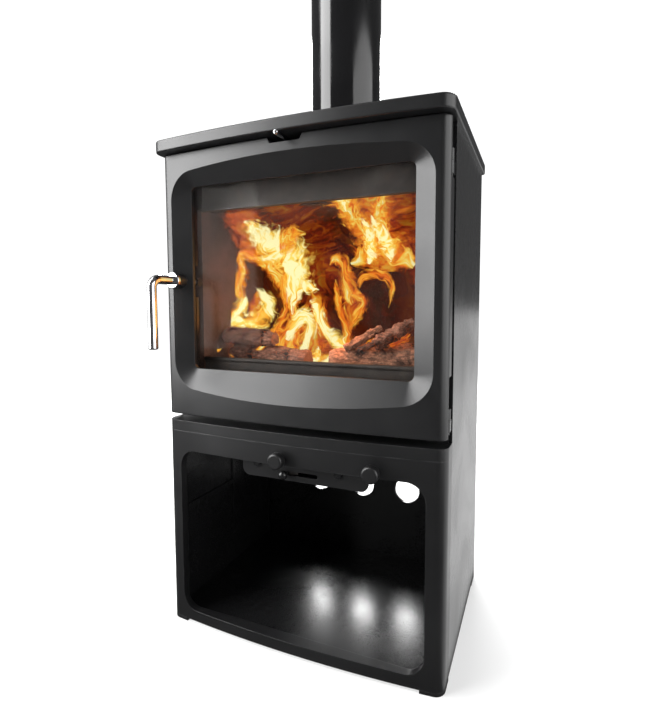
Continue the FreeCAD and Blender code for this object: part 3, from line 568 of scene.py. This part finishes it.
def flame(name, core, strength, cover):
    """Glowing gas: UV x runs across the tongue, UV y from root to tip."""
    mat, tree, out = new_material(name)
    coord = add(tree, "ShaderNodeTexCoord")
    split = add(tree, "ShaderNodeSeparateXYZ", {0: coord.outputs["UV"]})
    across, along = split.outputs["X"], split.outputs["Y"]
    where = place(tree)
    bend = pattern(tree, where, 16.0, 2.0, 0.5, 1.0)
    depth = add(tree, "ShaderNodeSeparateXYZ", {0: where}).outputs["Y"]
    swayed = maths(tree, "ADD", maths(tree, "MULTIPLY", across, 3.2),
                   maths(tree, "MULTIPLY", bend, 5.0))
    flow = add(tree, "ShaderNodeCombineXYZ", {"X": swayed,
               "Y": maths(tree, "MULTIPLY", along, 2.4),
               "Z": maths(tree, "MULTIPLY", depth, 90.0)}).outputs["Vector"]
    streak = pattern(tree, flow, 1.3, 3.0, 0.5, 0.8)
    middle = maths(tree, "ABSOLUTE", maths(tree, "SUBTRACT", across, 0.5))
    edge = maths(tree, "SUBTRACT", 1.0, maths(tree, "MULTIPLY", middle, 2.0))
    curl = between(tree, pattern(tree, where, 40.0, 3.0, 0.5, 1.6), 0.3, 0.7, -0.22, 0.22)
    body = maths(tree, "ADD", maths(tree, "ADD", edge, curl),
                 between(tree, streak, 0.3, 0.7, -0.28, 0.28))
    ends = maths(tree, "ADD", between(tree, along, 0.70, 1.0, 0.0, 0.60),
                 between(tree, along, 0.12, 0.0, 0.0, 0.45))
    body = maths(tree, "SUBTRACT", body, ends)
    heat = maths(tree, "ADD", maths(tree, "MULTIPLY", edge, 0.34),
                 between(tree, streak, 0.30, 0.70, 0.0, 0.58))
    heat = maths(tree, "ADD", heat, core)
    colour = ramp(tree, heat, (0.0, (0.20, 0.022, 0.014)), (0.25, (0.56, 0.055, 0.012)),
                  (0.48, (0.92, 0.20, 0.014)), (0.70, (1.0, 0.44, 0.035)),
                  (0.88, (1.0, 0.72, 0.13)), (1.0, (1.0, 0.93, 0.48)))
    shade = add(tree, "ShaderNodeEmission", {"Color": colour, "Strength": strength})
    clear = add(tree, "ShaderNodeBsdfTransparent")
    solid = add(tree, "ShaderNodeMapRange", {"Value": body, "From Min": 0.04,
                "From Max": 0.72, "To Min": 0.0, "To Max": cover},
                interpolation_type="SMOOTHSTEP").outputs["Result"]
    full = add(tree, "ShaderNodeMixShader", {0: solid, 1: clear.outputs[0],
               2: shade.outputs[0]})
    tree.links.new(full.outputs[0], out.inputs["Surface"])
    return mat


WHITE_FIRE = flame("flame_bright", 0.43, 1.12, 1.0)
GOLD_FIRE = flame("flame_gold", 0.13, 0.98, 0.95)
ORANGE_FIRE = flame("flame_orange", -0.08, 0.86, 0.80)
RED_FIRE = flame("flame_red", -0.24, 0.50, 0.50)
# painted light: faint red glowing sheets stand in for the firelight on the bricks
PAINTED_BRICK_GLOW = flame("flame_haze", -0.34, 0.17, 0.55)
FIRES = (WHITE_FIRE, GOLD_FIRE, ORANGE_FIRE, RED_FIRE, PAINTED_BRICK_GLOW)
print("flames, hottest first:", ", ".join(mat.name for mat in FIRES))

# %% [markdown]
# A tongue is drawn through a few points.  Each point gives how far across the
# fire it lies, how high, and how wide the tongue is there, in millimetres; the
# line is then smoothed.  Every tongue lies in a gently curved upright sheet at
# its own depth in the fire, so that they cover one another as real ones do.
# Higher up it leans forward, as the draught pulls it round the front of the
# baffle.  It stays behind the glass and within the walls of the firebox.

# %% Tongues of flame


LEAN_FROM = 600.0     # height above which a tongue leans forward, millimetres
FRONT_LIMIT = -68.0   # no flame comes further forward than this
SIDE_LIMIT = 215.0    # and none goes further out to either side
RIPPLE = 3.0          # how far a tongue wavers to and fro
RIPPLE_PITCH = 0.03   # and how quickly, per millimetre
CURVE_STEPS = 10      # steps between two points of a tongue


def smooth(points, steps):
    """A curve through points (any number of values each), Catmull-Rom."""
    full = [points[0]] + list(points) + [points[-1]]
    line = []
    for i in range(1, len(full) - 2):
        p0, p1, p2, p3 = full[i - 1:i + 3]
        for s in range(steps):
            t = s / steps
            line.append([0.5 * (2 * b + (c - a) * t + (2 * a - 5 * b + 4 * c - d) * t * t
                                + (3 * b - a - 3 * c + d) * t ** 3)
                         for a, b, c, d in zip(p0, p1, p2, p3)])
    line.append(list(full[-2]))
    return line


def tongue(name, depth, mat, *points, lean=0.8, bands=8):
    """A ribbon of flame through (x, z, width) points, millimetres."""
    line = smooth([[float(v) for v in p] for p in points], CURVE_STEPS)
    mesh = bmesh.new()
    uv = mesh.loops.layers.uv.new("UVMap")
    rows = []
    for i, (x, z, wide) in enumerate(line):
        nx, nz = line[min(i + 1, len(line) - 1)][:2]
        px, pz = line[max(i - 1, 0)][:2]
        run = Vector((nx - px, 0, nz - pz)).normalized()
        out = Vector((run.z, 0, -run.x))
        row = []
        for k in range(bands + 1):
            s = k / bands - 0.5
            spot = Vector((x, 0, z)) + out * (s * wide)
            waver = RIPPLE * noise.noise(Vector((x, z, depth)) * RIPPLE_PITCH)
            spot.y = depth - lean * max(0.0, z - LEAN_FROM) + 10 * s * s * wide / 20
            spot.y = max(FRONT_LIMIT, spot.y + waver)
            spot.x = min(SIDE_LIMIT, max(-SIDE_LIMIT, spot.x))
            row.append(mesh.verts.new(spot * 0.001))
        rows.append(row)
    last = len(rows) - 1
    for i in range(last):
        for k in range(bands):
            face = mesh.faces.new((rows[i][k], rows[i][k + 1], rows[i + 1][k + 1],
                                   rows[i + 1][k]))
            face.smooth = True
            corners = ((i, k), (i, k + 1), (i + 1, k + 1), (i + 1, k))
            for loop, (ti, tk) in zip(face.loops, corners):
                loop[uv].uv = (tk / bands, ti / last)
    return stove_piece(name, mesh, mat)


def count(start):
    """Say how many tongues have names that start so."""
    names = [obj.name for obj in bpy.data.objects if obj.name.startswith(start)]
    print(start, "has", len(names))


print("tongues stay within", SIDE_LIMIT, "mm each side and lean from", LEAN_FROM, "mm up")

# %% [markdown]
# The fire has three parts.  On the left a loop of flame curls up and over a
# dark hole and drops back to the log.  In the middle stands the hottest
# column, almost white, leaning left at the top.  On the right a tall sheet
# fans out up to the baffle.

# %% The left loop
tongue("flame_left_loop", 24, GOLD_FIRE, (-174, 520, 14), (-188, 545, 28), (-195, 562, 34),
       (-184, 588, 36), (-180, 612, 30), (-164, 626, 32), (-139, 614, 38), (-112, 584, 38),
       (-90, 552, 36), (-90, 525, 26), (-100, 500, 12))
tongue("flame_left_top", 48, ORANGE_FIRE, (-118, 600, 50), (-140, 628, 76), (-158, 656, 92),
       (-160, 682, 84), (-178, 704, 50), (-190, 716, 20))
tongue("flame_left_wisp", 40, ORANGE_FIRE, (-170, 664, 40), (-150, 688, 44), (-126, 684, 26),
       (-112, 676, 8))
tongue("flame_left_hot", 8, WHITE_FIRE, (-206, 484, 22), (-196, 502, 38), (-182, 520, 40),
       (-168, 538, 24), (-166, 548, 8))
tongue("flame_left_bowl", 6, WHITE_FIRE, (-212, 486, 20), (-184, 498, 34), (-158, 496, 44),
       (-130, 508, 54), (-120, 530, 48), (-134, 552, 26), (-142, 560, 8))
tongue("flame_left_inner", 18, ORANGE_FIRE, (-150, 500, 40), (-152, 524, 40),
       (-146, 545, 26), (-140, 556, 10))
tongue("flame_left_red", 70, RED_FIRE, (-120, 540, 80), (-110, 590, 100), (-130, 640, 120),
       (-140, 690, 110), (-130, 728, 70), lean=1.25)
count("flame_left")

# %% [markdown]
# The middle column rises from an arch over the logs.  White tongues run up its
# heart, gold ones fall away beside them, and red ones fill the gaps behind.

# %% The middle column
tongue("flame_mid_column", -2, WHITE_FIRE, (-124, 668, 16), (-112, 656, 44), (-92, 634, 76),
       (-66, 608, 96), (-60, 578, 74), (-60, 552, 48), (-64, 530, 26), (-64, 512, 10))
tongue("flame_mid_crown", 2, GOLD_FIRE, (-84, 624, 40), (-60, 638, 52), (-42, 646, 36),
       (-20, 644, 10))
tongue("flame_mid_arm", 0, WHITE_FIRE, (-66, 580, 34), (-46, 568, 48), (-30, 560, 34),
       (-12, 554, 8))
tongue("flame_mid_fall_1", 4, GOLD_FIRE, (-76, 596, 18), (-84, 560, 26), (-78, 524, 26),
       (-96, 490, 24), (-116, 460, 22), (-132, 442, 10))
tongue("flame_mid_fall_2", 3, GOLD_FIRE, (-58, 560, 26), (-66, 524, 24), (-58, 488, 26),
       (-68, 456, 34), (-80, 432, 30))
tongue("flame_mid_base", 2, GOLD_FIRE, (-118, 424, 40), (-108, 448, 62), (-90, 466, 76),
       (-68, 486, 66), (-48, 510, 50), (-36, 530, 20))
tongue("flame_mid_heart", -8, WHITE_FIRE, (-72, 468, 22), (-58, 494, 34), (-40, 510, 36),
       (-26, 496, 28), (-34, 468, 24), (-42, 444, 30), (-30, 428, 34))
tongue("flame_mid_arch", -10, WHITE_FIRE, (-26, 536, 14), (-14, 528, 28), (-8, 504, 28),
       (4, 482, 30), (22, 470, 36), (30, 456, 30), (14, 438, 30), (-8, 428, 22))
tongue("flame_mid_inside", 16, ORANGE_FIRE, (-30, 440, 60), (-28, 470, 76), (-26, 504, 64),
       (-30, 536, 40), (-36, 560, 16))
tongue("flame_mid_spark", -14, WHITE_FIRE, (-20, 424, 30), (-12, 440, 24), (-8, 452, 14),
       (-8, 460, 5))
tongue("flame_mid_floor", 12, GOLD_FIRE, (-120, 430, 24), (-90, 432, 40), (-50, 430, 44),
       (-10, 434, 34), (20, 444, 16))
tongue("flame_mid_red", 66, RED_FIRE, (-70, 520, 90), (-50, 570, 120), (-40, 640, 140),
       (-50, 690, 140), (-60, 728, 100), lean=1.25)
tongue("flame_mid_side", 30, RED_FIRE, (-40, 580, 30), (-16, 596, 44), (4, 584, 40),
       (24, 580, 16))
count("flame_mid")

# %% [markdown]
# On the right a bow and a hook of flame stand below, and the broad sheet fans
# out above them with three white streaks in it.

# %% The right-hand sheet
tongue("flame_right_knob", 2, GOLD_FIRE, (6, 596, 8), (16, 606, 24), (30, 598, 30),
       (38, 572, 30), (38, 544, 26), (48, 530, 14))
tongue("flame_right_bow", 4, GOLD_FIRE, (16, 572, 12), (18, 548, 20), (24, 520, 22),
       (36, 494, 24), (36, 468, 26), (24, 448, 22), (6, 436, 16))
tongue("flame_right_fold", 6, GOLD_FIRE, (40, 548, 20), (58, 542, 24), (66, 532, 22),
       (54, 512, 24), (40, 490, 20))
tongue("flame_right_web", 12, ORANGE_FIRE, (34, 590, 30), (34, 560, 44), (42, 530, 52),
       (40, 500, 34), (38, 480, 14))
tongue("flame_right_sheet", 26, ORANGE_FIRE, (96, 584, 90), (96, 612, 128), (96, 650, 122),
       (100, 690, 120), (108, 730, 120))
tongue("flame_right_left", 14, GOLD_FIRE, (40, 598, 16), (62, 606, 48), (82, 626, 56),
       (68, 656, 52), (58, 684, 62), (44, 708, 70), (30, 728, 50))
tongue("flame_right_right", 12, GOLD_FIRE, (150, 592, 30), (128, 606, 60), (104, 632, 64),
       (104, 660, 46), (124, 692, 44), (144, 722, 40))
tongue("flame_right_hot_1", 6, WHITE_FIRE, (74, 596, 18), (84, 620, 34), (84, 646, 24),
       (80, 662, 8))
tongue("flame_right_hot_2", 5, WHITE_FIRE, (112, 598, 16), (110, 626, 34), (100, 650, 24),
       (96, 664, 8))
tongue("flame_right_hot_3", 8, WHITE_FIRE, (58, 672, 12), (54, 696, 30), (46, 722, 26))
tongue("flame_right_hook", 3, GOLD_FIRE, (58, 556, 10), (64, 574, 20), (84, 580, 22),
       (104, 576, 20), (114, 562, 16), (113, 540, 10), (110, 524, 5))
tongue("flame_right_edge", 34, RED_FIRE, (150, 560, 60), (150, 610, 80), (150, 670, 90),
       (150, 728, 90), lean=1.25)
tongue("flame_right_low", 2, ORANGE_FIRE, (112, 462, 14), (128, 472, 20), (146, 482, 16))
count("flame_right")

# %% [markdown]
# Three wide, faint glowing sheets near the back paint firelight onto the
# bricks behind the flames and redden them; they stand upright, with no lean.

# %% Painted firelight in front of the bricks
tongue("haze_left", 110, PAINTED_BRICK_GLOW, (-150, 430, 170), (-150, 520, 180), (-140, 620, 180),
       (-140, 728, 180), lean=0.0, bands=4)
tongue("haze_middle", 104, PAINTED_BRICK_GLOW, (0, 430, 190), (-10, 520, 200), (-10, 620, 220),
       (-10, 728, 220), lean=0.0, bands=4)
tongue("haze_right", 108, PAINTED_BRICK_GLOW, (120, 430, 150), (120, 540, 170), (120, 640, 180),
       (120, 728, 190), lean=0.0, bands=4)
count("haze_")

# %% [markdown]
# Last come the small flames that creep out from under the logs at the front.

# %% Small flames along the bed
tongue("flame_low_1", -34, GOLD_FIRE, (-210, 462, 6), (-206, 450, 10), (-196, 448, 8),
       (-190, 452, 4))
tongue("flame_low_2", -30, GOLD_FIRE, (-176, 440, 10), (-160, 434, 10), (-142, 436, 10),
       (-120, 448, 14), (-98, 470, 18), (-80, 492, 16), (-66, 510, 8))
tongue("flame_low_3", -20, GOLD_FIRE, (-104, 424, 20), (-96, 444, 22), (-86, 462, 20),
       (-80, 484, 10))
tongue("flame_low_4", -4, ORANGE_FIRE, (60, 436, 20), (70, 452, 24), (84, 474, 16),
       (88, 486, 8))
count("flame_low")
count(("flame_", "haze_"))

# %% [markdown]
# ## Studio
#
# The stove stands on a pale floor, with pale walls far off on all four sides.
# The black front would mirror a bright floor, so the floor shows in no
# reflection.  A separate sheet to the right and behind does that instead.

# %% Floor and ground


def plane(name, corners, mat, faces=((0, 1, 2, 3),)):
    data = bpy.data.meshes.new(name)
    data.from_pydata(corners, [], faces)
    data.materials.append(mat)
    obj = bpy.data.objects.new(name, data)
    bpy.context.collection.objects.link(obj)
    obj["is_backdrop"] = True
    return obj


def pale(name, colour, near, far):
    """A pale ground with light of its own, weaker near the stove than far off: painted shade
    around the stove.
    """
    mat, tree, out = new_material(name)
    where = place(tree)
    grey = pattern(tree, where, 3.0, 3.0, 0.5)
    tint = between(tree, grey, 0.3, 0.7, colour - 0.01, colour + 0.01)
    away = add(tree, "ShaderNodeVectorMath", {0: where}, operation="LENGTH").outputs["Value"]
    shade = add(tree, "ShaderNodeBsdfDiffuse", {"Color": tint})
    # painted shade: the ground's own light is dimmer near the stove
    power = between(tree, away, 0.45, 1.3, near, far)
    light = add(tree, "ShaderNodeEmission", {"Color": (1, 1, 1, 1), "Strength": power})
    full = add(tree, "ShaderNodeAddShader", {0: shade.outputs[0], 1: light.outputs[0]})
    tree.links.new(full.outputs[0], out.inputs["Surface"])
    return mat


def only_for(obj, *rays):
    """Show the object to these kinds of ray and to no others."""
    for kind in ("camera", "diffuse", "glossy", "transmission", "shadow"):
        setattr(obj, "visible_" + kind, kind in rays)


FAR, HIGH = 50.0, 60.0           # how far off the walls stand, and how high
RIGHT, FRONT = 0.235, -0.12      # near corner of the sheet that is mirrored
SHEET_X, SHEET_Y = 30, 40        # and its far corner
SHEET_Z = 0.001                  # just above the floor
SQUARE = ((-FAR, -FAR), (FAR, -FAR), (FAR, FAR), (-FAR, FAR))
# the floor's own light is dimmed near the stove: painted shade around it
floor = plane("floor", [(x, y, 0) for x, y in SQUARE], pale("floor_pale", 0.45, 0.56, 1.02))
only_for(floor, "camera", "diffuse", "transmission", "shadow")
ground = plane("backdrop", [(x, y, z) for z in (-1, HIGH) for x, y in SQUARE],
               pale("backdrop_pale", 0.1, 1.1, 1.1),
               [(k, (k + 1) % 4, (k + 1) % 4 + 4, k + 4) for k in range(4)])
only_for(ground, "camera")
bounce = plane("bounce", [(RIGHT, FRONT, SHEET_Z), (SHEET_X, FRONT, SHEET_Z),
                          (SHEET_X, SHEET_Y, SHEET_Z), (RIGHT, SHEET_Y, SHEET_Z)],
               pale("bounce_pale", 0.1, 0.92, 0.92))
only_for(bounce, "glossy")
print("stage:", floor.name, ground.name, bounce.name)

# %% [markdown]
# One tall soft lamp stands to the left: it throws the veil of light across the
# left of the door and the streak on the pipe.  A wide, weak one fills from the
# right, one hangs overhead, and one behind shines through the air holes onto
# the floor of the log store.  The fire has warm lamps of its own, because it
# lights the bricks and the logs.

# %% Lamps


def lamp(name, where, at, wide, tall, shine):
    """A soft box; shine is its brightness, whatever its size."""
    data = bpy.data.lights.new(name, "AREA")
    data.shape, data.size, data.size_y = "RECTANGLE", wide, tall
    data.energy = shine * math.pi * wide * tall
    obj = bpy.data.objects.new(name, data)
    obj.location = where
    aim = Vector(at) - Vector(where)
    obj.rotation_euler = aim.to_track_quat("-Z", "Y").to_euler()
    obj.visible_camera = False
    bpy.context.collection.objects.link(obj)
    return obj


lamp("lamp_left", (-1.39, -1.10, 1.34), (0, -0.05, 1.34), 1.25, 2.05, 10.0)
lamp("lamp_right", (2.2, -0.35, 1.1), (0, 0, 1.1), 3.2, 2.2, 3.0)
lamp("lamp_top", (-1.8, -1.1, 2.9), (-1.6, -0.9, 0), 2.4, 2.6, 1.5)
lamp("lamp_back", (-0.65, 1.97, 1.41), (0, 0.19, 0.15), 1.6, 1.2, 28.0)


FIRELIGHT = (1.0, 0.36, 0.10)


def glow(name, where, power, radius):
    """A small warm lamp inside the fire."""
    data = bpy.data.lights.new(name, "POINT")
    data.energy, data.color, data.shadow_soft_size = power, FIRELIGHT, radius
    obj = bpy.data.objects.new(name, data)
    obj.location = where
    obj.visible_camera = False
    bpy.context.collection.objects.link(obj)


glow("fire_middle", (-0.05, 0.03, 0.56), 0.45, 0.05)
glow("fire_right", (0.09, 0.04, 0.62), 0.35, 0.05)
glow("fire_left", (-0.14, 0.02, 0.50), 0.30, 0.04)
glow("fire_front", (0.04, -0.05, 0.50), 0.30, 0.04)

world = bpy.data.worlds.new("room")
world.use_nodes = True
world.node_tree.nodes["Background"].inputs["Color"].default_value = (1, 1, 1, 1)
world.node_tree.nodes["Background"].inputs["Strength"].default_value = 0.10
bpy.context.scene.world = world

# %% [markdown]
# ## Camera
#
# A little to the right of the stove and at the height of the glass, close
# enough for the body to loom, with a wide lens.

# %% Camera
TILT, ROLL, TURN = 4.14, 0.05, 22.67   # down, sideways and round to the left, degrees
lens = bpy.data.cameras.new("camera")
lens.lens, lens.sensor_width = 24.05, 36.0
lens.shift_x, lens.shift_y = -0.021, -0.0253
lens.clip_start = 0.01
camera = bpy.data.objects.new("camera", lens)
camera.location = (0.3352, -0.7409, 0.5293)
camera.rotation_euler = (math.radians(90 - TILT), math.radians(ROLL), math.radians(TURN))
bpy.context.collection.objects.link(camera)
bpy.context.scene.camera = camera
bpy.context.scene.view_settings.view_transform = "Standard"
print("camera at", [round(v, 3) for v in camera.location])

# %% [markdown]
# ## Finish
#
# The overall size is taken once more, to show that the dressing changed
# nothing, and the frame is handed over.

# %% Finish
save_size("finished", SIZE)
print("size at the end:", SIZE["finished"])
